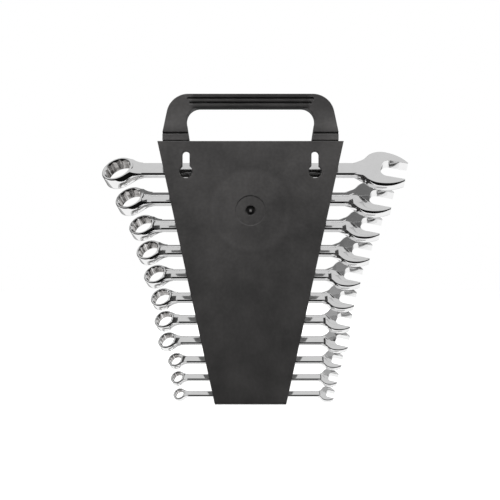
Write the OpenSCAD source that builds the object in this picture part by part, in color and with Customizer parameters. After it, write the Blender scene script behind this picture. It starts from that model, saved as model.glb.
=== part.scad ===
// Wrench rack with eleven combination wrenches, each laid in its own pair of slots.
// Millimetres. +Z is up, the wall is at Y = 0 and the open side of the rack faces +Y.
// The origin lies on the plate's wall face, midway between the two keyhole entries.

/* [Wrench set] */
// Size across flats of each wrench, from the top slot down
sizes = [19, 17, 15, 14, 13, 12, 11, 10, 8, 7, 6]; // each from 5 to 24
// Overall length of each wrench
lengths = [244, 221.5, 201, 187, 173.5, 163, 156.5, 151.5, 138, 132, 127]; // each from 100 to 300
// How far each ring end reaches to the left of the rack's middle
ring_reaches = [118.6, 107.5, 96.5, 90.5, 84.5, 79, 76, 73, 65, 62.8, 60.7]; // each from 50 to 150

/* [Ring ends] */
// Tilt of a ring against its shank
ring_tilt = 15; // [5:1:20]
// Wall of a ring that every size has
ring_wall = 1.05; // [0.6:0.05:2]
// Growth of that wall for each millimetre of size
ring_wall_rise = 0.135; // [0.08:0.005:0.2]
// Thickness of a ring that every size has
ring_t_base = 1.4; // [1:0.1:2]
// Growth of that thickness for each millimetre of size
ring_t_rise = 0.49; // [0.43:0.01:0.6]
// How far a ring's middle lies below the middle of its shank, for each millimetre of size
ring_drop = 0.15; // [0.05:0.01:0.25]
// Clearance of a hole or a jaw over the nut
nut_play = 0.2; // [0.05:0.05:0.4]
// Width of the chamfer at a ring's mouth, for each millimetre of size
ring_mouth = 0.1; // [0.05:0.01:0.12]

/* [Open ends] */
// Turn of the jaws in the plane of the wrench
jaw_turn = 15; // [0:1:22]
// Half the width of a head that every size has
head_r_base = 0.3; // [0:0.1:1.5]
// Growth of that half width for each millimetre of size
head_r_rise = 1; // [0.9:0.02:1.2]
// Radius of the round back of each jaw, for each millimetre of size
jaw_back = 0.74; // [0.65:0.01:0.85]
// Thickness of a head that every size has
head_t_base = 2.3; // [1.8:0.1:3]
// Growth of that thickness for each millimetre of size
head_t_rise = 0.28; // [0.22:0.01:0.36]
// Reach of the jaws past the middle of the head, for each millimetre of size
jaw_reach = 1.05; // [0.8:0.05:1.2]
// Width of a jaw at its tip, for each millimetre of size
jaw_tip = 0.08; // [0.05:0.01:0.14]
// Corner radius at the bottom of the jaws, for each millimetre of size
throat_r = 0.3; // [0.15:0.05:0.45]

/* [Shanks] */
// Width of a shank that every size has
shank_w_base = 0.3; // [0:0.1:1.5]
// Growth of that width for each millimetre of size
shank_w_rise = 0.69; // [0.55:0.01:0.8]
// Thickness of a shank that every size has
shank_t_base = 2.6; // [2:0.1:3]
// Growth of that thickness for each millimetre of size
shank_t_rise = 0.15; // [0.1:0.01:0.18]
// Radius of a shank's edges, as a share of its thickness
shank_edge = 0.26; // [0.1:0.02:0.4]
// Radius of the hollow between a shank and its head, for each millimetre of size
head_hollow = 0.7; // [0.4:0.05:1.2]
// Radius of the hollow between a shank and its ring, for each millimetre of size
ring_hollow = 1; // [0.6:0.05:1.4]

/* [Rack plate] */
// Width of the plate at its top
plate_w_top = 144; // [136:1:160]
// Width of the plate at its bottom
plate_w_bottom = 55; // [44:1:70]
// Height of the plate
plate_h = 204; // [200:1:230]
// Thickness of the plate
plate_t = 2.6; // [2:0.1:3.6]
// Thickness of the side, top and bottom walls
wall_t = 3; // [2:0.1:4]
// Depth of the rack at its top
depth_top = 30; // [26:0.5:36]
// Depth of the rack at its bottom
depth_bottom = 19; // [16:0.5:26]
// Radius of the plate's lower edge
lower_edge_r = 2.4; // [1:0.1:4]

/* [Slots] */
// Lean of the wrenches: the angle between their faces and the floor
slot_lean = 47.5; // [35:0.5:60]
// Height of the first slot's middle above the keyhole entries
first_slot_z = 2.6; // [-2:0.1:4]
// Space between two slots that every pair has
pitch_base = 7.2; // [6:0.1:9]
// Growth of that space for each millimetre of the pair's mean size
pitch_rise = 0.875; // [0.8:0.005:0.95]
// Distance from the wall to the middle of a slot that every size has
slot_y_base = 5.2; // [4.5:0.1:8]
// Growth of that distance for each millimetre of size
slot_y_rise = 0.6; // [0.55:0.01:0.7]
// Clearance between a shank and its slot
slot_play = 0.3; // [0.2:0.05:0.4]
// Height of the bead that keeps a wrench in its slot
bead_h = 0.5; // [0.3:0.05:0.7]

/* [Keyholes] */
// Distance between the two keyholes
keyhole_spacing = 100; // [90:1:108]
// Diameter of the entry for a screw's head
keyhole_entry_d = 10.1; // [8:0.1:12]
// Width of the slot for a screw's shank
keyhole_slot_w = 5.8; // [4:0.1:6.4]
// Distance from the entry up to the screw's seat
keyhole_rise = 12.8; // [10:0.1:15]
// Distance from the plate's top down to the entries
keyhole_drop = 23.5; // [20:0.1:27]
// Width of the raised collar round a keyhole
collar_w = 2; // [1:0.1:3]
// Height of that collar over the plate
collar_h = 2.4; // [1:0.1:3.4]

/* [Handle] */
// Width of the handle over its feet
handle_w = 137.4; // [130:0.2:144]
// Width of the handle over its top corners
handle_w_top = 131.2; // [124:0.2:134]
// Height of the handle above the plate
handle_h = 37.6; // [34:0.2:46]
// Height of the straight foot of a leg
foot_h = 7.8; // [5:0.2:10]
// Outer radius of the handle's corners
handle_r = 17; // [12:0.5:20]
// Height of the grip bar
bar_h = 10.6; // [8:0.2:14]
// Width of the finger gap at its widest
gap_w = 100.6; // [90:0.2:106]
// Width of the finger gap at the plate
gap_w_foot = 95.2; // [86:0.2:100]
// Radius of the finger gap's corners
gap_r = 10.6; // [6:0.2:14]
// Distance of the handle's face behind the wall face of the plate
handle_y = 5; // [3:0.5:8]
// Depth of the handle
handle_depth = 9; // [7:0.5:20]
// Wall of the handle's channel section
handle_wall = 2.4; // [1.6:0.1:3]
// Width of the grooves across the legs
leg_groove_w = 1.5; // [0.8:0.1:2.2]
// Depth of the grooves in the handle's face
groove_depth = 1.1; // [0.5:0.1:1.4]
// Width of the long grooves in the grip bar
bar_groove_w = 1.8; // [1:0.1:2.4]
// Distance between the middles of the long grooves
bar_groove_pitch = 3.5; // [2.8:0.1:4.5]

/* [Moulding mark] */
// Distance from the keyhole entries down to the mark
mark_drop = 30.2; // [24:0.2:60]
// Radius of the flat disc round the mark
mark_disc_r = 11.6; // [8:0.2:16]
// Depth of that disc
mark_disc_depth = 0.4; // [0.1:0.05:0.5]
// Radius of the pit in the middle
mark_pit_r = 4.1; // [2:0.1:6]
// Depth of the pit below the disc
mark_pit_depth = 1.3; // [0.5:0.1:1.4]
// Radius of the stub in the pit
mark_stub_r = 1.8; // [1:0.1:2]

/* [Hidden] */
$fn = 72;
// How far a cut runs past the face that it opens
over = 1;
// How far a hollow's arc bites into the flat that it meets, so that they cross cleanly
bite = 0.06;
// Width of a neck's bevels as a share of those of the disc that it joins, so that they cross cleanly
neck_share = 0.75;
// Least plastic that is left under the last slot
least_web = 1;
black = [0.2, 0.2, 0.2];
chrome = [0.8, 0.81, 0.82];

// Sizes of one wrench, all worked out from its size across flats
function ring_r(s) = s / 2 + ring_wall + ring_wall_rise * s;
function ring_t(s) = ring_t_base + ring_t_rise * s;
function ring_edge(s) = ring_wall_rise * s / 3 + ring_wall / 3;
function shank_w(s) = shank_w_base + shank_w_rise * s;
function shank_t(s) = shank_t_base + shank_t_rise * s;
function head_r(s) = head_r_base + head_r_rise * s;
function head_t(s) = max(head_t_base + head_t_rise * s, shank_t(s) + 4 * bite);
function head_edge(s) = head_t(s) / 9;
function jaw_back_r(s) = jaw_back * s;
function ring_tip(s) = ring_r(s) * cos(ring_tilt) + ring_t(s) / 2 * sin(ring_tilt);
function jaw_y(s) = (s + nut_play) / 2;
function jaw_tip_x(s) = jaw_reach * s * cos(jaw_turn) + jaw_y(s) * sin(jaw_turn);
// Distance between the middle of the ring and the middle of the head
function centres(i) = lengths[i] - ring_tip(sizes[i]) - jaw_tip_x(sizes[i]);

// Radius of an arc that leaves a flat tangentially and rises by this much over this run
function arc_r(run, rise) = (run * run + rise * rise) / (2 * rise);
// Distance along the shank from a disc's middle to the start of its hollow
function hollow_x(disc_r, half_w, r) = sqrt(pow(disc_r + r, 2) - pow(half_w + r, 2));
// Half the profile of a turned rim: three narrow bevels, which lean in, or out for a hollow
function rim(r, t, edge) =
    [for (a = [0 : 30 : 90]) [r - edge * (1 - cos(a)), t / 2 - abs(edge) * (1 - sin(a))]];
function flipped(points) = [for (i = [len(points) - 1 : -1 : 0]) [points[i][0], -points[i][1]]];

// Places of the slots
function slot_y(s) = slot_y_base + slot_y_rise * s;
function pitch(i) = pitch_base + pitch_rise * (sizes[i - 1] + sizes[i]) / 2;
function slot_z(i) = i == 0 ? first_slot_z : slot_z(i - 1) - pitch(i);
// Distance from a slot's middle down to the lowest point of its round corner
function slot_foot(s, r) = r + (shank_w(s) / 2 + slot_play - r) * sin(slot_lean)
                             + (shank_t(s) / 2 + slot_play - r) * cos(slot_lean);

// Edges of the rack
// The plate is as high as its size says, and reaches below the last slot if the slots need more
plate_top = keyhole_drop;
last = len(sizes) - 1;
slots_end = slot_z(last) - slot_foot(sizes[last], shank_edge * shank_t(sizes[last]));
plate_bottom = min(plate_top - plate_h, slots_end - least_web);
side_slope = (plate_w_top - plate_w_bottom) / 2 / (plate_top - plate_bottom);
handle_back = handle_y + handle_depth;
function plate_half(z) = plate_w_bottom / 2 + (z - plate_bottom) * side_slope;
side_wall_x = wall_t * sqrt(1 + side_slope * side_slope);

module disc(r, t, edge) {
    // A flat disc whose rim has round edges
    rotate_extrude() {
        translate([0, -t / 2]) square([r - edge, t]);
        translate([0, -t / 2 + edge]) square([r, t - 2 * edge]);
        for (z = [-1, 1]) translate([r - edge, z * (t / 2 - edge)]) circle(edge);
    }
}

module bevelled_disc(r, t, edge) {
    // A flat disc whose rim is ground with three narrow bevels on each side
    upper = concat(rim(r, t, edge), [[0, t / 2]]);
    rotate_extrude() polygon(concat(upper, flipped(upper)));
}

module hollow_cut(r, t, edge) {
    // The cutter of a hollow: it flares out to leave the same bevels as a bevelled disc has
    end = t / 2 + over;
    upper = concat(rim(r, t, -edge), [[r + edge, end], [0, end]]);
    rotate_extrude() polygon(concat(upper, flipped(upper)));
}

module rounded_section(w, t, r) {
    square([w - 2 * r, t], center = true);
    square([w, t - 2 * r], center = true);
    for (x = [-1, 1], y = [-1, 1]) translate([x * (w / 2 - r), y * (t / 2 - r)]) circle(r);
}

module blend_cut(x_end, z_flat, run, rise, w) {
    // A round cut that brings a neck down to the flat of its shank
    side = sign(z_flat);
    r = arc_r(run, max(rise, 2 * bite));
    translate([x_end, -w, z_flat + side * (r - bite)]) rotate([-90, 0, 0]) cylinder(r = r, h = 2 * w);
}

module at_ring(s) {
    translate([0, 0, -ring_drop * s]) rotate([0, -ring_tilt, 0]) children();
}

module ring_neck(s) {
    // Two hollows cut square to the ring widen the shank, and two round cuts thin it to the shank's flats
    r = ring_r(s);
    t = ring_t(s);
    hollow = ring_hollow * s;
    side = shank_w(s) / 2 + hollow - bite;
    run = hollow_x(r, shank_w(s) / 2, hollow);
    end = run * cos(ring_tilt);
    face_end = (r - ring_edge(s)) * [cos(ring_tilt), sin(ring_tilt)];
    lift = t / 2 * [sin(ring_tilt), cos(ring_tilt)];
    flat = shank_t(s) / 2;
    top_run = end - face_end[0] + lift[0];
    low_run = end - face_end[0];
    drop = ring_drop * s;
    difference() {
        at_ring(s) difference() {
            linear_extrude(t, center = true) polygon([[0, 0], [run, side], [run, -side]]);
            for (y = [-side, side]) translate([run, y, 0]) hollow_cut(hollow, t, neck_share * ring_edge(s));
        }
        blend_cut(end, flat, top_run, face_end[1] + lift[1] - drop - flat, 2 * s);
        blend_cut(end + lift[0], -flat, low_run, lift[1] + drop - face_end[1] - flat, 2 * s);
    }
}

module ring_hole(s) {
    // Twelve points: two hexagons a twelfth of a turn apart, with a chamfer at each mouth
    t = ring_t(s);
    points_r = (s + nut_play) / 2 / cos(30);
    mouth = ring_mouth * s;
    mouth_r = points_r + ring_wall / 4;
    for (turn = [0, 30]) rotate(turn) cylinder(r = points_r, h = t + 2 * over, center = true, $fn = 6);
    for (side = [0, 1]) mirror([0, 0, side])
        translate([0, 0, t / 2 - mouth]) cylinder(r1 = mouth_r - mouth, r2 = mouth_r + bite, h = mouth + bite);
}

module throat(s) {
    // The gap between the jaws, square to its bottom with round corners
    r = throat_r * s;
    w = s + nut_play;
    translate([0, 0, -s]) linear_extrude(2 * s) {
        translate([r, -w / 2]) square([2 * s, w]);
        translate([0, -w / 2 + r]) square([r + over, w - 2 * r]);
        for (side = [-1, 1]) translate([r, side * (w / 2 - r)]) circle(r);
    }
}

module head(s) {
    // Each jaw has a round back, and a wider arc that leaves it almost tangentially bounds its outside
    r = head_r(s);
    t = head_t(s);
    reach = jaw_reach * s;
    jaw_r = arc_r(reach, r - jaw_y(s) - jaw_tip * s);
    rotate(-jaw_turn) {
        for (side = [-1, 1]) translate([0, side * (r - jaw_back_r(s)), 0])
            bevelled_disc(jaw_back_r(s), t, head_edge(s));
        intersection() {
            translate([0, r - jaw_r - bite, 0]) bevelled_disc(jaw_r, t, head_edge(s));
            translate([0, jaw_r - r + bite, 0]) bevelled_disc(jaw_r, t, head_edge(s));
            translate([-bite, -2 * r, -t]) cube([reach + bite, 4 * r, 2 * t]);
        }
    }
}

module head_neck(s) {
    // Two hollows, each tangent to the back of its jaw, widen the shank. It leaves the shank inside
    // its round edges and is as thick as the head before it reaches the jaws.
    hollow = head_hollow * s;
    back = head_r(s) - jaw_back_r(s);
    side = shank_w(s) / 2 + hollow - bite;
    upper = back * [sin(jaw_turn), cos(jaw_turn)];
    run = hollow_x(jaw_back_r(s), shank_w(s) / 2 - upper[1], hollow);
    upper_cut = [upper[0] - run, side];
    lower_cut = [-upper[0] - run, -side];
    full = -upper[0] - jaw_back_r(s);
    thin = shank_t(s) * (0.5 - shank_edge);
    thick = head_t(s) / 2;
    difference() {
        intersection() {
            translate([0, 0, -s]) linear_extrude(2 * s)
                polygon([upper_cut, upper, -upper, lower_cut, [lower_cut[0], 0], [upper_cut[0], 0]]);
            translate([0, s, 0]) rotate([90, 0, 0]) linear_extrude(2 * s)
                polygon([[lower_cut[0], -thin], [full, -thick], [s, -thick], [s, thick], [full, thick],
                         [lower_cut[0], thin]]);
        }
        for (place = [upper_cut, lower_cut]) translate(place)
            hollow_cut(hollow, head_t(s), neck_share * head_edge(s));
    }
}

module wrench_blank(i) {
    s = sizes[i];
    difference() {
        union() {
            at_ring(s) disc(ring_r(s), ring_t(s), ring_edge(s));
            ring_neck(s);
            translate([s / 2, 0, 0]) rotate([90, 0, 90])
                linear_extrude(centres(i) - s) rounded_section(shank_w(s), shank_t(s), shank_edge * shank_t(s));
            translate([centres(i), 0, 0]) head_neck(s);
            translate([centres(i), 0, 0]) head(s);
        }
        at_ring(s) ring_hole(s);
        translate([centres(i), 0, 0]) rotate(-jaw_turn) throat(s);
    }
}

module at_slot(i) {
    translate([0, slot_y(sizes[i]), slot_z(i)]) rotate([slot_lean, 0, 0]) children();
}

module wrench(i) {
    color(chrome) at_slot(i) translate([ring_tip(sizes[i]) - ring_reaches[i], 0, 0]) wrench_blank(i);
}

module plate_plan(bottom, top, inset) {
    polygon([for (p = [[1, top], [-1, top], [-1, bottom], [1, bottom]])
        [p[0] * (plate_half(p[1]) - inset), p[1]]]);
}

module tray_hollow(y, top) {
    // The space between the side walls, from this depth to beyond the open side
    translate([0, y, 0]) rotate([90, 0, 0]) mirror([0, 0, 1])
        linear_extrude(2 * depth_top) plate_plan(plate_bottom + wall_t, top, side_wall_x);
}

module rack_profile() {
    // The rack seen from its side: shallower at the bottom, with a round lower edge at the wall
    difference() {
        polygon([[0, plate_top], [depth_top, plate_top], [depth_bottom, plate_bottom], [0, plate_bottom]]);
        translate([0, plate_bottom]) difference() {
            translate([-over, -over]) square(lower_edge_r + over);
            translate([lower_edge_r, lower_edge_r]) circle(lower_edge_r);
        }
    }
}

module tray() {
    // The top wall is only as deep as the handle that stands on it, so the first wrench lies open
    difference() {
        intersection() {
            rotate([90, 0, 0]) translate([0, 0, -2 * depth_top]) linear_extrude(3 * depth_top)
                plate_plan(plate_bottom, plate_top, 0);
            translate([-plate_w_top, 0, 0]) rotate([90, 0, 90]) linear_extrude(2 * plate_w_top) rack_profile();
        }
        tray_hollow(plate_t, plate_top - wall_t);
        tray_hollow(handle_back, plate_top + over);
    }
}

module slot_cut(i) {
    // A pair of open slots for one shank, with a bead on the lower side just past the shank
    s = sizes[i];
    w = shank_w(s) + 2 * slot_play;
    t = shank_t(s) + 2 * slot_play;
    r = shank_edge * shank_t(s);
    at_slot(i) rotate([90, 0, 90]) translate([0, 0, -plate_w_top]) linear_extrude(2 * plate_w_top)
        difference() {
            union() {
                translate([-w / 2 + r, -t / 2]) square([2 * depth_top, t]);
                translate([-w / 2, -t / 2 + r]) square([r + over, t - 2 * r]);
                for (side = [-1, 1]) translate([-w / 2 + r, side * (t / 2 - r)]) circle(r);
            }
            translate([w / 2 + 2 * bead_h, -t / 2 - bead_h]) circle(2 * bead_h);
        }
}

module keyhole_outline(grow) {
    circle(d = keyhole_entry_d + 2 * grow);
    translate([-keyhole_slot_w / 2 - grow, 0]) square([keyhole_slot_w + 2 * grow, keyhole_rise]);
    translate([0, keyhole_rise]) circle(d = keyhole_slot_w + 2 * grow);
}

module at_keyholes(y) {
    for (side = [-1, 1]) translate([side * keyhole_spacing / 2, y, 0]) rotate([90, 0, 0]) children();
}

module moulding_mark() {
    // What the feed of the mould leaves: a shallow disc, a pit and a cut stub in it
    translate([0, 0, -mark_drop]) rotate([-90, 0, 0]) {
        translate([0, 0, -over]) cylinder(r = mark_disc_r, h = over + mark_disc_depth);
        difference() {
            cylinder(r1 = mark_pit_r, r2 = mark_pit_r - mark_pit_depth / 2,
                     h = mark_disc_depth + mark_pit_depth);
            translate([0, 0, 2 * mark_disc_depth]) cylinder(r = mark_stub_r, h = 2 * mark_pit_depth);
        }
    }
}

module handle_outline(inset) {
    corner = [handle_w_top / 2 - handle_r, handle_h - handle_r];
    knee = [handle_w / 2 - inset, foot_h];
    r = handle_r - inset;
    reach = norm(knee - corner);
    lean = atan2(knee[1] - corner[1], knee[0] - corner[0]) + acos(r / reach);
    touch = corner + r * [cos(lean), sin(lean)];
    for (side = [0, 1]) mirror([side, 0]) {
        polygon([[0, inset], [knee[0], inset], knee, touch, corner + [0, r], [0, corner[1] + r]]);
        translate(corner) circle(r);
    }
}

module finger_gap(inset) {
    corner = [gap_w / 2 - gap_r, handle_h - bar_h - gap_r];
    r = gap_r + inset;
    foot = gap_w_foot / 2 + inset;
    for (side = [0, 1]) mirror([side, 0]) {
        polygon([[0, -over], [foot, -over], [corner[0] + r, corner[1]], corner + [0, r], [0, corner[1] + r]]);
        translate(corner) circle(r);
    }
}

module bar_groove(z, half_len) {
    // A long shallow groove with round ends, cut into the handle's face
    translate([0, handle_y + groove_depth, z]) rotate([90, 0, 0]) linear_extrude(groove_depth + over) {
        square([2 * half_len, bar_groove_w], center = true);
        for (side = [-1, 1]) translate([side * half_len, 0]) circle(d = bar_groove_w);
    }
}

module handle() {
    groove_half = handle_w_top / 2 - handle_r;
    groove_z = plate_top + handle_h - bar_h / 2 + bar_groove_pitch / 2;
    difference() {
        translate([0, handle_back, plate_top]) rotate([90, 0, 0]) linear_extrude(handle_depth)
            difference() {
                handle_outline(0);
                finger_gap(0);
            }
        translate([0, handle_back + over, plate_top]) rotate([90, 0, 0])
            linear_extrude(handle_depth + over - handle_wall) difference() {
                handle_outline(handle_wall);
                finger_gap(handle_wall);
            }
        bar_groove(groove_z, groove_half);
        bar_groove(groove_z - bar_groove_pitch, groove_half - bar_groove_w);
        for (z = [0, foot_h - leg_groove_w]) translate([-handle_w, handle_y - over, plate_top + z])
            cube([2 * handle_w, groove_depth + over, leg_groove_w]);
    }
}

module rack() {
    color(black) difference() {
        union() {
            tray();
            handle();
            at_keyholes(plate_t + collar_h) linear_extrude(plate_t / 2 + collar_h) keyhole_outline(collar_w);
        }
        for (i = [0 : last]) slot_cut(i);
        at_keyholes(plate_t + collar_h + over) linear_extrude(plate_t + collar_h + 2 * over) keyhole_outline(0);
        moulding_mark();
    }
}

rack();
wrench(0);  // wrench_19mm
wrench(1);  // wrench_17mm
wrench(2);  // wrench_15mm
wrench(3);  // wrench_14mm
wrench(4);  // wrench_13mm
wrench(5);  // wrench_12mm
wrench(6);  // wrench_11mm
wrench(7);  // wrench_10mm
wrench(8);  // wrench_8mm
wrench(9);  // wrench_7mm
wrench(10);  // wrench_6mm
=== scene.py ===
# %% [markdown]
# # Wrench set with rack
# A moulded black rack holds eleven chrome-plated combination wrenches. The camera looks
# at the flat plate that goes against a wall, so the wrenches show only at their two ends:
# the rings on the left and the open jaws on the right.
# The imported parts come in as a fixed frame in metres, with +Z up and the wall side facing -Y.
# Their box is noted at once, because the finished model may not grow past it.

# %% Load the parts
import bpy
import math
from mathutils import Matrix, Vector


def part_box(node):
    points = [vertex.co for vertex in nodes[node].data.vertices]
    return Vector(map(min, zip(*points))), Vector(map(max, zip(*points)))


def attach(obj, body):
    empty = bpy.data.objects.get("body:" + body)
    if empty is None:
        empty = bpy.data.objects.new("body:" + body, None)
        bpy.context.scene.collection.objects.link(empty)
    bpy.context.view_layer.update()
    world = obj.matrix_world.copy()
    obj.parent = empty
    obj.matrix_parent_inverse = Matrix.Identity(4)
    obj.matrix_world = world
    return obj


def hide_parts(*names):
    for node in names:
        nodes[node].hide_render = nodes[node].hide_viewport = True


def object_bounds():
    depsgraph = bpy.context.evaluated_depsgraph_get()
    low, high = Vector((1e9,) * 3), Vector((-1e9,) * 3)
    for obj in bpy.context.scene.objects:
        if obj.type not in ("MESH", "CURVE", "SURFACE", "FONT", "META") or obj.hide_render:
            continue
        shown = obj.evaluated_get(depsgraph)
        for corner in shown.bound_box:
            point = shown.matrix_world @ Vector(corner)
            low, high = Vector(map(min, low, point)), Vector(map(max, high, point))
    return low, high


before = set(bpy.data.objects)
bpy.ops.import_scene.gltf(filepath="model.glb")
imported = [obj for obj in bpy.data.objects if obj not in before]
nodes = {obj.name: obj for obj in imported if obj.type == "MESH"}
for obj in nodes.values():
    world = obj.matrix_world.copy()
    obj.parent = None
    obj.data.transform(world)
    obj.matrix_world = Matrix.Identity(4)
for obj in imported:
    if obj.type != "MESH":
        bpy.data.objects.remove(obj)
cad_low, cad_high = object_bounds()
print("parts:", len(nodes), "size in mm:", [round(v * 1000, 1) for v in cad_high - cad_low])

# %% [markdown]
# ## The camera
# The plate is seen square on from about half a metre, level with the middle of the rack, so
# the underside of the grip bar just shows. The two keyholes give the scale, and the ratio of
# near parts to far parts gives the distance. A long lens from further off would flatten the
# wrenches, so the distance is set first and the lens follows from it.

# %% Place the camera
photo_px = 500
mm_per_px = 0.7722
camera_distance = 0.5328
camera_height = -0.0607
camera_x = -0.0004
film_width = 36
half_width = photo_px / 2 * mm_per_px / 1000

camera = bpy.data.objects.new("camera", bpy.data.cameras.new("camera"))
bpy.context.scene.collection.objects.link(camera)
camera.location = (camera_x, -camera_distance, camera_height)
camera.rotation_euler = (math.radians(90), 0, 0)
camera.data.sensor_width = film_width
camera.data.lens = film_width / 2 * camera_distance / half_width
camera.data.clip_start = 0.01
camera.data.clip_end = 50
bpy.context.scene.camera = camera
print("lens:", round(camera.data.lens, 2), "mm")

# %% [markdown]
# ## Helpers for node trees
# Each material below is a short list of nodes and links. A few small helpers keep them
# readable: one adds a node with its settings, one makes a whole material and hands back its
# tree and its main shader, one turns a factor into a tone, and two do sums.

# %% Node helpers
def add_node(tree, kind, inputs=None, **settings):
    node = tree.nodes.new(kind)
    for name, value in settings.items():
        setattr(node, name, value)
    for name, value in (inputs or {}).items():
        if isinstance(value, bpy.types.NodeSocket):
            tree.links.new(value, node.inputs[name])
        else:
            node.inputs[name].default_value = value
    return node


def new_material(name):
    material = bpy.data.materials.new(name)
    material.use_nodes = True
    tree = material.node_tree
    return material, tree, tree.nodes["Principled BSDF"]


def ramp(tree, factor, stops):
    node = add_node(tree, "ShaderNodeValToRGB", {"Fac": factor})
    elements = node.color_ramp.elements
    while len(elements) < len(stops):
        elements.new(0.5)
    for element, (place, tone) in zip(elements, stops):
        colour = tone if isinstance(tone, tuple) else (tone, tone, tone)
        element.position = place
        element.color = (*colour, 1)
    return node.outputs["Color"]


def math_node(tree, operation, *values):
    node = add_node(tree, "ShaderNodeMath", operation=operation)
    for socket, value in zip(node.inputs, values):
        if isinstance(value, bpy.types.NodeSocket):
            tree.links.new(value, socket)
        else:
            socket.default_value = value
    return node.outputs[0]


def product(tree, *values):
    result = values[0]
    for value in values[1:]:
        result = math_node(tree, "MULTIPLY", result, value)
    return result


print("node helpers ready")

# %% [markdown]
# ## The studio
# The background is plain white for the camera and for whatever mirrors it. Only the soft
# light that falls on the object itself is weaker, so that the black plastic keeps its tone.

# %% White background
ambient = 0.14
white = (1, 1, 1, 1)


def seen_or_mirrored(tree):
    path = add_node(tree, "ShaderNodeLightPath")
    mirrored = math_node(tree, "MAXIMUM", path.outputs["Is Glossy Ray"],
                         path.outputs["Is Transmission Ray"])
    return math_node(tree, "MAXIMUM", path.outputs["Is Camera Ray"], mirrored)


def build_world():
    world = bpy.data.worlds.new("studio")
    bpy.context.scene.world = world
    world.use_nodes = True
    tree = world.node_tree
    tree.nodes.clear()
    strength = add_node(tree, "ShaderNodeMapRange", {"Value": seen_or_mirrored(tree),
                                                     "To Min": ambient, "To Max": 1})
    shader = add_node(tree, "ShaderNodeBackground", {"Color": white,
                                                     "Strength": strength.outputs[0]})
    add_node(tree, "ShaderNodeOutputWorld", {"Surface": shader.outputs[0]})


build_world()
print("world:", bpy.context.scene.world.name)

# %% [markdown]
# Chrome has almost no colour of its own: it shows what stands round it. Polished tools are
# therefore photographed inside a bent sheet of card. In front, round the camera, the card is
# black and draws the dark lines along every rounded edge. Overhead it turns light grey and
# gives the flat faces their even tone, and behind the object it is dark grey again. Below
# it is open, so the lower faces show the white surround, and its two ends are closed with
# darker card. It is made as a cylinder with the unwanted faces cut away, because its tone
# then follows one angle: 0 degrees is toward the camera, 90 is overhead and 180 is behind.
# Only reflections see it.

# %% The bent card's shape
card_radius = 1.1
card_length = 3.0
card_sides = 96
card_from = -76
card_to = 205
card_open = -120


def only_in_reflections(stage_object):
    stage_object.visible_camera = False
    stage_object.visible_diffuse = False
    stage_object.visible_transmission = False
    stage_object.visible_shadow = False


def round_the_card(place):
    turn = math.degrees(math.atan2(place.z, -place.y))
    return turn if turn > card_open else turn + 360


def bend_card():
    bpy.ops.object.select_all(action="DESELECT")
    bpy.ops.mesh.primitive_cylinder_add(vertices=card_sides, radius=card_radius,
                                        depth=card_length, end_fill_type="TRIFAN",
                                        location=(0, 0, camera_height),
                                        rotation=(0, math.radians(90), 0))
    card = bpy.context.object
    card.name = "bent_card"
    bpy.ops.object.transform_apply(location=False, rotation=True)
    bpy.ops.object.mode_set(mode="EDIT")
    bpy.ops.mesh.select_mode(type="FACE")
    bpy.ops.mesh.select_all(action="DESELECT")
    bpy.ops.object.mode_set(mode="OBJECT")
    for face in card.data.polygons:
        face.select = not card_from < round_the_card(face.center) < card_to
    bpy.ops.object.mode_set(mode="EDIT")
    bpy.ops.mesh.delete(type="FACE")
    bpy.ops.object.mode_set(mode="OBJECT")
    only_in_reflections(card)
    return card


card = bend_card()
print("card faces:", len(card.data.polygons))

# %% [markdown]
# The tones follow the angle. The black part is narrow and near the lens, so what one wrench
# mirrors in the next finds the white room past it: for every reflection after the first, the
# part in front has a light tone.

# %% The card's tones
card_tones = [(card_from, 0.005), (38, 0.008), (59, 0.60), (72, 0.66), (112, 0.66),
              (150, 0.18), (178, 0.18), (187, 0.42), (card_to, 0.50)]
front_to = 50
front_mirrored_twice = 0.75
past_first_mirror = 1.5
end_level = 0.25
end_margin = 0.01


def build_card_tones():
    material, tree, shader = new_material("card_from_black_to_grey")
    place = add_node(tree, "ShaderNodeTexCoord").outputs["Object"]
    axes = add_node(tree, "ShaderNodeSeparateXYZ", {"Vector": place})
    turn = math_node(tree, "ARCTAN2", axes.outputs["Z"], product(tree, axes.outputs["Y"], -1.0))
    turn = math_node(tree, "WRAP", turn, math.radians(card_open + 360), math.radians(card_open))
    share = add_node(tree, "ShaderNodeMapRange", {"Value": turn,
                                                  "From Min": math.radians(card_from),
                                                  "From Max": math.radians(card_to)})
    tone = ramp(tree, share.outputs[0], [((angle - card_from) / (card_to - card_from), grey)
                                         for angle, grey in card_tones])
    depth = add_node(tree, "ShaderNodeLightPath").outputs["Ray Depth"]
    again = math_node(tree, "GREATER_THAN", depth, past_first_mirror)
    in_front = math_node(tree, "LESS_THAN", turn, math.radians(front_to))
    tone = add_node(tree, "ShaderNodeMapRange", {"Value": product(tree, again, in_front),
                                                 "To Min": tone,
                                                 "To Max": front_mirrored_twice})
    from_middle = math_node(tree, "ABSOLUTE", axes.outputs["X"])
    at_end = math_node(tree, "GREATER_THAN", from_middle, card_length / 2 - end_margin)
    level = add_node(tree, "ShaderNodeMapRange", {"Value": at_end, "To Min": 1,
                                                  "To Max": end_level})
    glow = add_node(tree, "ShaderNodeEmission", {"Color": tone.outputs[0],
                                                 "Strength": level.outputs[0]})
    tree.links.new(glow.outputs[0], tree.nodes["Material Output"].inputs["Surface"])
    return material


card.data.materials.append(build_card_tones())
print("card:", card.data.materials[0].name)

# %% [markdown]
# The table is a wide white floor under the rack's foot. The camera sees mostly its own white.
# A small share of it is lit by the lamps, so that the object's soft shadow still shows, while
# light that falls on the object comes from an ordinary pale floor. Reflections look past it,
# to the same white surround and to the lower part of the card, as if on a glass table.

# %% The floor
floor_radius = 1.6
floor_sides = 96
floor_drop = 0.0002
own_white = 0.94
pale = 0.16
lit_share = 0.5


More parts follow.
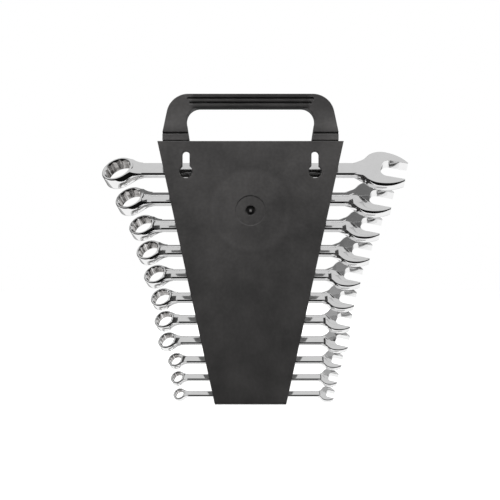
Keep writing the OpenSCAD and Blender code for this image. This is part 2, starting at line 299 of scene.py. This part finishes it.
def build_white_table():
    material, tree, shader = new_material("white_table")
    seen = seen_or_mirrored(tree)
    tree.links.new(ramp(tree, seen, [(0, pale), (1, lit_share)]), shader.inputs["Base Color"])
    shader.inputs["Roughness"].default_value = 1
    shader.inputs["Specular IOR Level"].default_value = 0
    shader.inputs["Emission Color"].default_value = white
    tree.links.new(product(tree, seen, own_white), shader.inputs["Emission Strength"])
    return material


def build_floor():
    bpy.ops.object.select_all(action="DESELECT")
    bpy.ops.mesh.primitive_circle_add(vertices=floor_sides, radius=floor_radius,
                                      fill_type="NGON",
                                      location=(0, 0, cad_low.z - floor_drop))
    floor = bpy.context.object
    floor.name = "floor"
    bpy.ops.object.transform_apply(location=True)
    floor.data.materials.append(build_white_table())
    floor.visible_glossy = False
    return floor


floor = build_floor()
print("floor:", floor.name, "under z =", round(cad_low.z * 1000, 1), "mm")

# %% [markdown]
# A soft lamp hangs in front of the plate, above and a little left of the camera's view. It is
# close enough that the plate falls from dark grey at its top to almost black at its foot. A
# weaker one fills from the right, and a third lights the slots from behind. Reflections don't
# see the lamps, so they leave no bright discs in the chrome.

# %% Lamps
def soft_lamp(name, place, aim, size, power):
    data = bpy.data.lights.new(name, "AREA")
    data.shape = "DISK"
    data.size = size
    data.energy = power
    lamp = bpy.data.objects.new(name, data)
    bpy.context.scene.collection.objects.link(lamp)
    lamp.location = place
    lamp.rotation_euler = (Vector(aim) - Vector(place)).to_track_quat("-Z", "Y").to_euler()
    lamp.visible_glossy = False
    return lamp


soft_lamp("key_lamp", place=(-0.06, -0.30, 0.34), aim=(0, 0, -0.02), size=0.25, power=3.3)
soft_lamp("fill_lamp", place=(0.7, -0.9, 0.1), aim=(0, 0, -0.06), size=0.7, power=1.2)
soft_lamp("back_lamp", place=(0.35, 0.9, 0.35), aim=(0, 0.03, -0.06), size=0.6, power=6.0)

# %% [markdown]
# ## Black moulded plastic
# The rack came out of a mould with a fine grain: satin black, a little warm, with a very fine
# bump. The melt spread from the feed point in the middle of the plate. It left cloudy flow
# marks and a faint ring where the front slowed down. Where the feed was broken off, the pit is
# painted dark as shade and its torn stub gets a painted highlight. To the right of the feed
# point a darker patch is painted shade. The legs of the handle are painted lighter where their
# curved faces catch the lamp and darker into the groove, the bar between them is painted darker
# as shade, and the bar's underside is painted almost black as shade and made rougher.
# All of these are soft masks on the plate's own coordinates. Each is one short list of
# distances in metres and tones, where a tone of 1 leaves the plastic as it is.

# %% Tones of the marks and of the painted light and shade
feed_z = -0.0302
# Painted shade in the pit left by the broken-off feed, with a painted highlight on its torn
# stub.
pit_shade_and_stub_highlight_tones = [(0.0, 4.2), (0.0009, 1.1), (0.0014, 0.12), (0.0028, 0.16), (0.0042, 0.95),
              (0.006, 1.0)]
flow_ring = 0.031
flow_ring_waver = 0.009
flow_ring_tones = [(0.0, 1.0), (flow_ring - 0.006, 1.0), (flow_ring - 0.001, 1.09),
                   (flow_ring + 0.002, 0.92), (flow_ring + 0.010, 1.0)]
# A darker patch of painted shade to the right of the feed point.
painted_shade_patch = (0.028, 0, -0.027)
painted_shade_patch_tones = [(0.0, 0.74), (0.006, 0.80), (0.018, 1.0)]
# The legs are painted lighter where their curved faces catch the lamp and darker down into the
# groove.
leg_light_and_shade_tones = [(0.0235, 1.0), (0.0245, 1.22), (0.0275, 1.2), (0.031, 0.95), (0.037, 1.45),
             (0.046, 1.15), (0.052, 0.95)]
# The grip bar between the legs is painted darker as shade.
bar_shade_tones = [(0.0490, 1.0), (0.0500, 0.62), (0.0560, 0.60), (0.0590, 0.52), (0.0611, 0.62)]
# The bar's underside is painted almost black as shade; the same mask also makes it rougher.
underside_shade_tones = [(0.0495, 1.0), (0.0499, 0.2), (0.0508, 0.2), (0.0514, 1.0)]
off_the_bar = [(0.040, 0.0), (0.047, 1.0)]
below_the_pit = [(0.0020, 0.0), (0.0025, 0.01)]
print("marks round the feed point at z =", round(feed_z * 1000, 1), "mm")

# %% [markdown]
# A profile draws such a list over a measured value, and a group gathers the marks and the
# painted light and shade. The painted shade and highlight of the feed point's pit, and the
# ring, are measured from the feed point, across the plate only. On the far side of the plate,
# below the pit of the feed, a step is added to that distance, so that this painted shade and
# highlight don't show through. The painted light and shade of the legs and the bar are told
# apart by height and by the distance from the middle.

# %% Moulding marks and painted light and shade
cloud_scale = 26
across_the_plate = (1, 0, 1)


def profile(tree, value, places):
    low, high = places[0][0], places[-1][0]
    share = add_node(tree, "ShaderNodeMapRange", {"Value": value, "From Min": low,
                                                  "From Max": high})
    highest = max(tone for at, tone in places)
    stops = [((at - low) / (high - low), tone / highest) for at, tone in places]
    return product(tree, ramp(tree, share.outputs[0], stops), highest)


def distance(tree, place, point):
    return add_node(tree, "ShaderNodeVectorMath", {0: place, 1: point},
                    operation="DISTANCE").outputs["Value"]


def build_marks_and_painted_light():
    group = bpy.data.node_groups.new("marks_and_painted_light", "ShaderNodeTree")
    group.interface.new_socket("Feed height", in_out="INPUT", socket_type="NodeSocketFloat")
    for output in ("Tone", "Cloud", "Dull"):
        group.interface.new_socket(output, in_out="OUTPUT", socket_type="NodeSocketFloat")
    given = group.nodes.new("NodeGroupInput")
    result = group.nodes.new("NodeGroupOutput")
    place = add_node(group, "ShaderNodeTexCoord").outputs["Object"]
    axes = add_node(group, "ShaderNodeSeparateXYZ", {"Vector": place})
    height = axes.outputs["Z"]
    cloud = add_node(group, "ShaderNodeTexNoise", {"Vector": place, "Scale": cloud_scale,
                                                   "Detail": 6, "Roughness": 0.62})
    feed = add_node(group, "ShaderNodeCombineXYZ", {"Z": given.outputs["Feed height"]})
    flat = add_node(group, "ShaderNodeVectorMath", {0: place, 1: across_the_plate},
                    operation="MULTIPLY").outputs[0]
    from_feed = distance(group, flat, feed.outputs[0])
    wavering = math_node(group, "MULTIPLY_ADD", cloud.outputs["Fac"], flow_ring_waver,
                         math_node(group, "SUBTRACT", from_feed, flow_ring_waver / 2))
    ring = profile(group, wavering, flow_ring_tones)
    # Painted shade in a patch to the right of the feed point.
    shade_patch = profile(group, distance(group, flat, painted_shade_patch), painted_shade_patch_tones)
    step = profile(group, axes.outputs["Y"], below_the_pit)
    # The feed point's pit gets painted shade and its stub a painted highlight.
    pit_shade_and_highlight = profile(group, math_node(group, "ADD", from_feed, step), pit_shade_and_stub_highlight_tones)
    # Painted light and shade on the handle's legs, by height.
    leg_light_and_shade = profile(group, height, leg_light_and_shade_tones)
    beside = profile(group, math_node(group, "ABSOLUTE", axes.outputs["X"]), off_the_bar)
    # Painted shade on the grip bar, kept off the legs.
    bar_shade = math_node(group, "MAXIMUM", profile(group, height, bar_shade_tones), beside)
    # Painted shade on the bar's underside, which also drives its roughness.
    shaded_underside = math_node(group, "MAXIMUM", profile(group, height, underside_shade_tones), beside)
    tone = product(group, ring, shade_patch, pit_shade_and_highlight, leg_light_and_shade, bar_shade, shaded_underside)
    group.links.new(tone, result.inputs["Tone"])
    group.links.new(cloud.outputs["Fac"], result.inputs["Cloud"])
    group.links.new(math_node(group, "SUBTRACT", 1.0, shaded_underside), result.inputs["Dull"])
    return group


marks_and_painted_light = build_marks_and_painted_light()
print("group:", marks_and_painted_light.name)

# %% [markdown]
# The plastic's colour and gloss drift with the clouds, and fine specks break up its tone. The
# grain is only a bump. A mould has no perfectly sharp edge, so the edges are rounded in the
# normals by a little under a millimetre, and the grooves and slots look soft.

# %% The plastic
speck_scale = 420
grain_scale = 2600
grain_depth = 0.0001
moulded_edge = 0.0009
cloud_colours = [(0.36, (0.040, 0.0388, 0.0386)), (0.64, (0.060, 0.0578, 0.0572))]
speck_tones = [(0.4, 0.96), (0.62, 1.06)]
satin = [(0.35, 0.38), (0.65, 0.50)]


def build_plastic():
    material, tree, shader = new_material("satin_black_plastic")
    marks = add_node(tree, "ShaderNodeGroup", node_tree=marks_and_painted_light)
    marks.inputs["Feed height"].default_value = feed_z
    place = add_node(tree, "ShaderNodeTexCoord").outputs["Object"]
    speck = add_node(tree, "ShaderNodeTexNoise", {"Vector": place, "Scale": speck_scale,
                                                  "Detail": 3})
    grain = add_node(tree, "ShaderNodeTexNoise", {"Vector": place, "Scale": grain_scale,
                                                  "Detail": 2})
    clouds = ramp(tree, marks.outputs["Cloud"], cloud_colours)
    specks = ramp(tree, speck.outputs["Fac"], speck_tones)
    tone = add_node(tree, "ShaderNodeVectorMath",
                    {0: clouds, "Scale": product(tree, marks.outputs["Tone"], specks)},
                    operation="SCALE")
    roughness = math_node(tree, "MAXIMUM", ramp(tree, marks.outputs["Cloud"], satin),
                          marks.outputs["Dull"])
    edge = add_node(tree, "ShaderNodeBevel", {"Radius": moulded_edge}, samples=8)
    bump = add_node(tree, "ShaderNodeBump", {"Height": grain.outputs["Fac"], "Strength": 0.3,
                                             "Distance": grain_depth,
                                             "Normal": edge.outputs["Normal"]})
    tree.links.new(tone.outputs[0], shader.inputs["Base Color"])
    tree.links.new(roughness, shader.inputs["Roughness"])
    tree.links.new(bump.outputs["Normal"], shader.inputs["Normal"])
    return material


plastic = build_plastic()
rack = nodes["rack"]
rack.data.materials.clear()
rack.data.materials.append(plastic)
print("material:", plastic.name)

# %% [markdown]
# ## Chrome plate
# Bright nickel and chrome over a forged and tumbled steel blank: a mirror that is not quite
# flat, so that reflected lines waver a little. The ring holes are broached after forging and
# the plating hardly reaches in, so they stay duller and more uneven, and their edges are less
# crisp. Both finishes share one group that gives the wavering normal and a haze, and one
# function that makes a metal out of it.

# %% Chrome and broached steel
haze_scale = 190
waver_scale = 110
waver_depth = 0.0001


def build_hand_finish():
    group = bpy.data.node_groups.new("hand_finish", "ShaderNodeTree")
    group.interface.new_socket("Waver", in_out="INPUT", socket_type="NodeSocketFloat")
    group.interface.new_socket("Edge", in_out="INPUT", socket_type="NodeSocketFloat")
    group.interface.new_socket("Haze", in_out="OUTPUT", socket_type="NodeSocketFloat")
    group.interface.new_socket("Normal", in_out="OUTPUT", socket_type="NodeSocketVector")
    given = group.nodes.new("NodeGroupInput")
    result = group.nodes.new("NodeGroupOutput")
    place = add_node(group, "ShaderNodeTexCoord").outputs["Object"]
    haze = add_node(group, "ShaderNodeTexNoise", {"Vector": place, "Scale": haze_scale,
                                                  "Detail": 4})
    wave = add_node(group, "ShaderNodeTexNoise", {"Vector": place, "Scale": waver_scale,
                                                  "Detail": 1})
    edge = add_node(group, "ShaderNodeBevel", {"Radius": given.outputs["Edge"]}, samples=8)
    bump = add_node(group, "ShaderNodeBump", {"Height": wave.outputs["Fac"],
                                              "Strength": given.outputs["Waver"],
                                              "Distance": waver_depth,
                                              "Normal": edge.outputs["Normal"]})
    group.links.new(haze.outputs["Fac"], result.inputs["Haze"])
    group.links.new(bump.outputs["Normal"], result.inputs["Normal"])
    return group


hand_finish = build_hand_finish()


def build_metal(name, waver, edge, colours, roughness):
    material, tree, shader = new_material(name)
    finish = add_node(tree, "ShaderNodeGroup", node_tree=hand_finish)
    finish.inputs["Waver"].default_value = waver
    finish.inputs["Edge"].default_value = edge
    haze = finish.outputs["Haze"]
    shader.inputs["Metallic"].default_value = 1
    tree.links.new(ramp(tree, haze, colours), shader.inputs["Base Color"])
    tree.links.new(ramp(tree, haze, roughness), shader.inputs["Roughness"])
    tree.links.new(finish.outputs["Normal"], shader.inputs["Normal"])
    return material


chrome = build_metal("chrome_plate", waver=0.18, edge=0.0002,
                     colours=[(0.3, 0.86), (0.7, 0.90)],
                     roughness=[(0.3, 0.04), (0.7, 0.09)])
broached = build_metal("broached_steel", waver=0.5, edge=0.0008,
                       colours=[(0.35, (0.17, 0.163, 0.158)), (0.65, (0.56, 0.545, 0.535))],
                       roughness=[(0.3, 0.10), (0.7, 0.17)])
print("materials:", chrome.name, broached.name)

# %% [markdown]
# ## The wrenches
# Each wrench is a drop forging, tumbled, broached and plated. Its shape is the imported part's.
# The finished piece is a copy whose points are merged while the true normals of its round
# edges are kept, and the walls of its twelve-point hole get the duller finish. To find those
# walls, the script works out where each ring stands. The wrenches share a few rules: how the
# slots lean, how their pitch grows with the sizes, and how thick a ring and a shank are.

# %% Sizes shared by the set, in metres
slot_lean = math.radians(47.5)
ring_tilt = math.radians(15)
first_slot_z = 0.0026
pitch_base = 0.0072
pitch_rise = 0.875
slot_y_base = 0.0052
slot_y_rise = 0.6
ring_wall = 0.00105
ring_wall_rise = 0.135
ring_t_base = 0.0014
ring_t_rise = 0.49
ring_drop = 0.15
nut_play = 0.0002
shank_t_base = 0.0026
shank_t_rise = 0.15
along = Vector((1, 0, 0))
across = Vector((0, math.cos(slot_lean), math.sin(slot_lean)))
face_out = Vector((0, -math.sin(slot_lean), math.cos(slot_lean)))
ring_axis = face_out * math.cos(ring_tilt) - along * math.sin(ring_tilt)

wrench_names = [name for name in nodes if name.startswith("wrench_")]
sizes = {name: int(name.removeprefix("wrench_").removesuffix("mm")) / 1000
         for name in wrench_names}
by_size = sorted(wrench_names, key=sizes.get, reverse=True)
slot_z = {by_size[0]: first_slot_z}
for above, below in zip(by_size, by_size[1:]):
    slot_z[below] = slot_z[above] - pitch_base - pitch_rise * (sizes[above] + sizes[below]) / 2
print("slots from", round(slot_z[by_size[0]] * 1000, 1),
      "to", round(slot_z[by_size[-1]] * 1000, 1), "mm")


# %% Where each shank and ring stands
def shank_middle(name, x=0):
    return Vector((x, slot_y_base + slot_y_rise * sizes[name], slot_z[name]))


def ring_place(name):
    size = sizes[name]
    ring_r = size / 2 + ring_wall + ring_wall_rise * size
    ring_t = ring_t_base + ring_t_rise * size
    tip = ring_r * math.cos(ring_tilt) + ring_t / 2 * math.sin(ring_tilt)
    centre = shank_middle(name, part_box(name)[0][0] + tip) - face_out * ring_drop * size
    points_r = (size + nut_play) / 2 / math.cos(math.radians(30))
    return centre, points_r, ring_t


for name in by_size:
    centre, points_r, ring_t = ring_place(name)
    print(name, "ring at x =", round(centre.x * 1000, 1), "mm, hole across the points",
          round(points_r * 2000, 1), "mm")

# %% [markdown]
# The sides of a forging are not square to its faces. The two halves of the die leave them a
# little crowned, with the fullest line in the middle, so that they come out of the die. It is
# too slight to show in the outline, but a mirror shows it, so the normals of the sides lean
# up above the middle and down below it. Walls that face inward, as in a jaw or a hole, are
# cut and stay straight.

# %% Crown the sides
crown = 0.30


def crown_the_sides(mesh, on_shank, half_t):
    leaned = [Vector(corner.vector) for corner in mesh.corner_normals]
    for face in mesh.polygons:
        if face.normal.dot(across) * (face.center - on_shank).dot(across) < 0:
            continue
        for corner in face.loop_indices:
            place = mesh.vertices[mesh.loops[corner].vertex_index].co - on_shank
            height = max(-1, min(1, place.dot(face_out) / half_t))
            side_share = 1 - leaned[corner].dot(face_out) ** 2
            leaned[corner] += face_out * crown * side_share * height
            leaned[corner].normalize()
    mesh.normals_split_custom_set(leaned)


print("sides lean up to", round(math.degrees(math.atan(crown)), 1), "degrees")

# %% [markdown]
# Now the pieces. The walls of a hole are found by place: they lie inside the circle of the
# twelve points, between the ring's two faces, and stand square to the hole.

# %% Finish the wrenches
same_point = 1e-6
square_to_hole = 0.2


def select_hole_walls(mesh, centre, points_r, ring_t):
    for face in mesh.polygons:
        from_centre = face.center - centre
        height = from_centre.dot(ring_axis)
        inside = (from_centre - ring_axis * height).length < points_r
        upright = abs(face.normal.dot(ring_axis)) < square_to_hole
        face.select = inside and upright and abs(height) < ring_t / 2


def finish_wrench(name):
    piece = bpy.data.objects.new(name + "_plated", nodes[name].data.copy())
    bpy.context.scene.collection.objects.link(piece)
    piece.data.materials.clear()
    piece.data.materials.append(chrome)
    piece.data.materials.append(broached)
    bpy.ops.object.select_all(action="DESELECT")
    bpy.context.view_layer.objects.active = piece
    piece.select_set(True)
    bpy.ops.object.mode_set(mode="EDIT")
    bpy.ops.mesh.select_all(action="SELECT")
    bpy.ops.mesh.remove_doubles(threshold=same_point, use_sharp_edge_from_normals=True)
    bpy.ops.mesh.select_all(action="DESELECT")
    bpy.ops.object.mode_set(mode="OBJECT")
    select_hole_walls(piece.data, *ring_place(name))
    bpy.ops.object.mode_set(mode="EDIT")
    piece.active_material_index = 1
    bpy.ops.object.material_slot_assign()
    bpy.ops.object.mode_set(mode="OBJECT")
    half_t = (shank_t_base + shank_t_rise * sizes[name]) / 2
    crown_the_sides(piece.data, shank_middle(name), half_t)
    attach(piece, "root")
    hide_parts(name)
    return piece


for name in by_size:
    piece = finish_wrench(name)
    walls = sum(face.material_index == 1 for face in piece.data.polygons)
    print(piece.name, "faces:", len(piece.data.polygons), "in the hole's walls:", walls)

# %% [markdown]
# ## Colour view
# The render shows its colours through the standard view transform.

# %% Set the view transform
bpy.context.scene.view_settings.view_transform = "Standard"
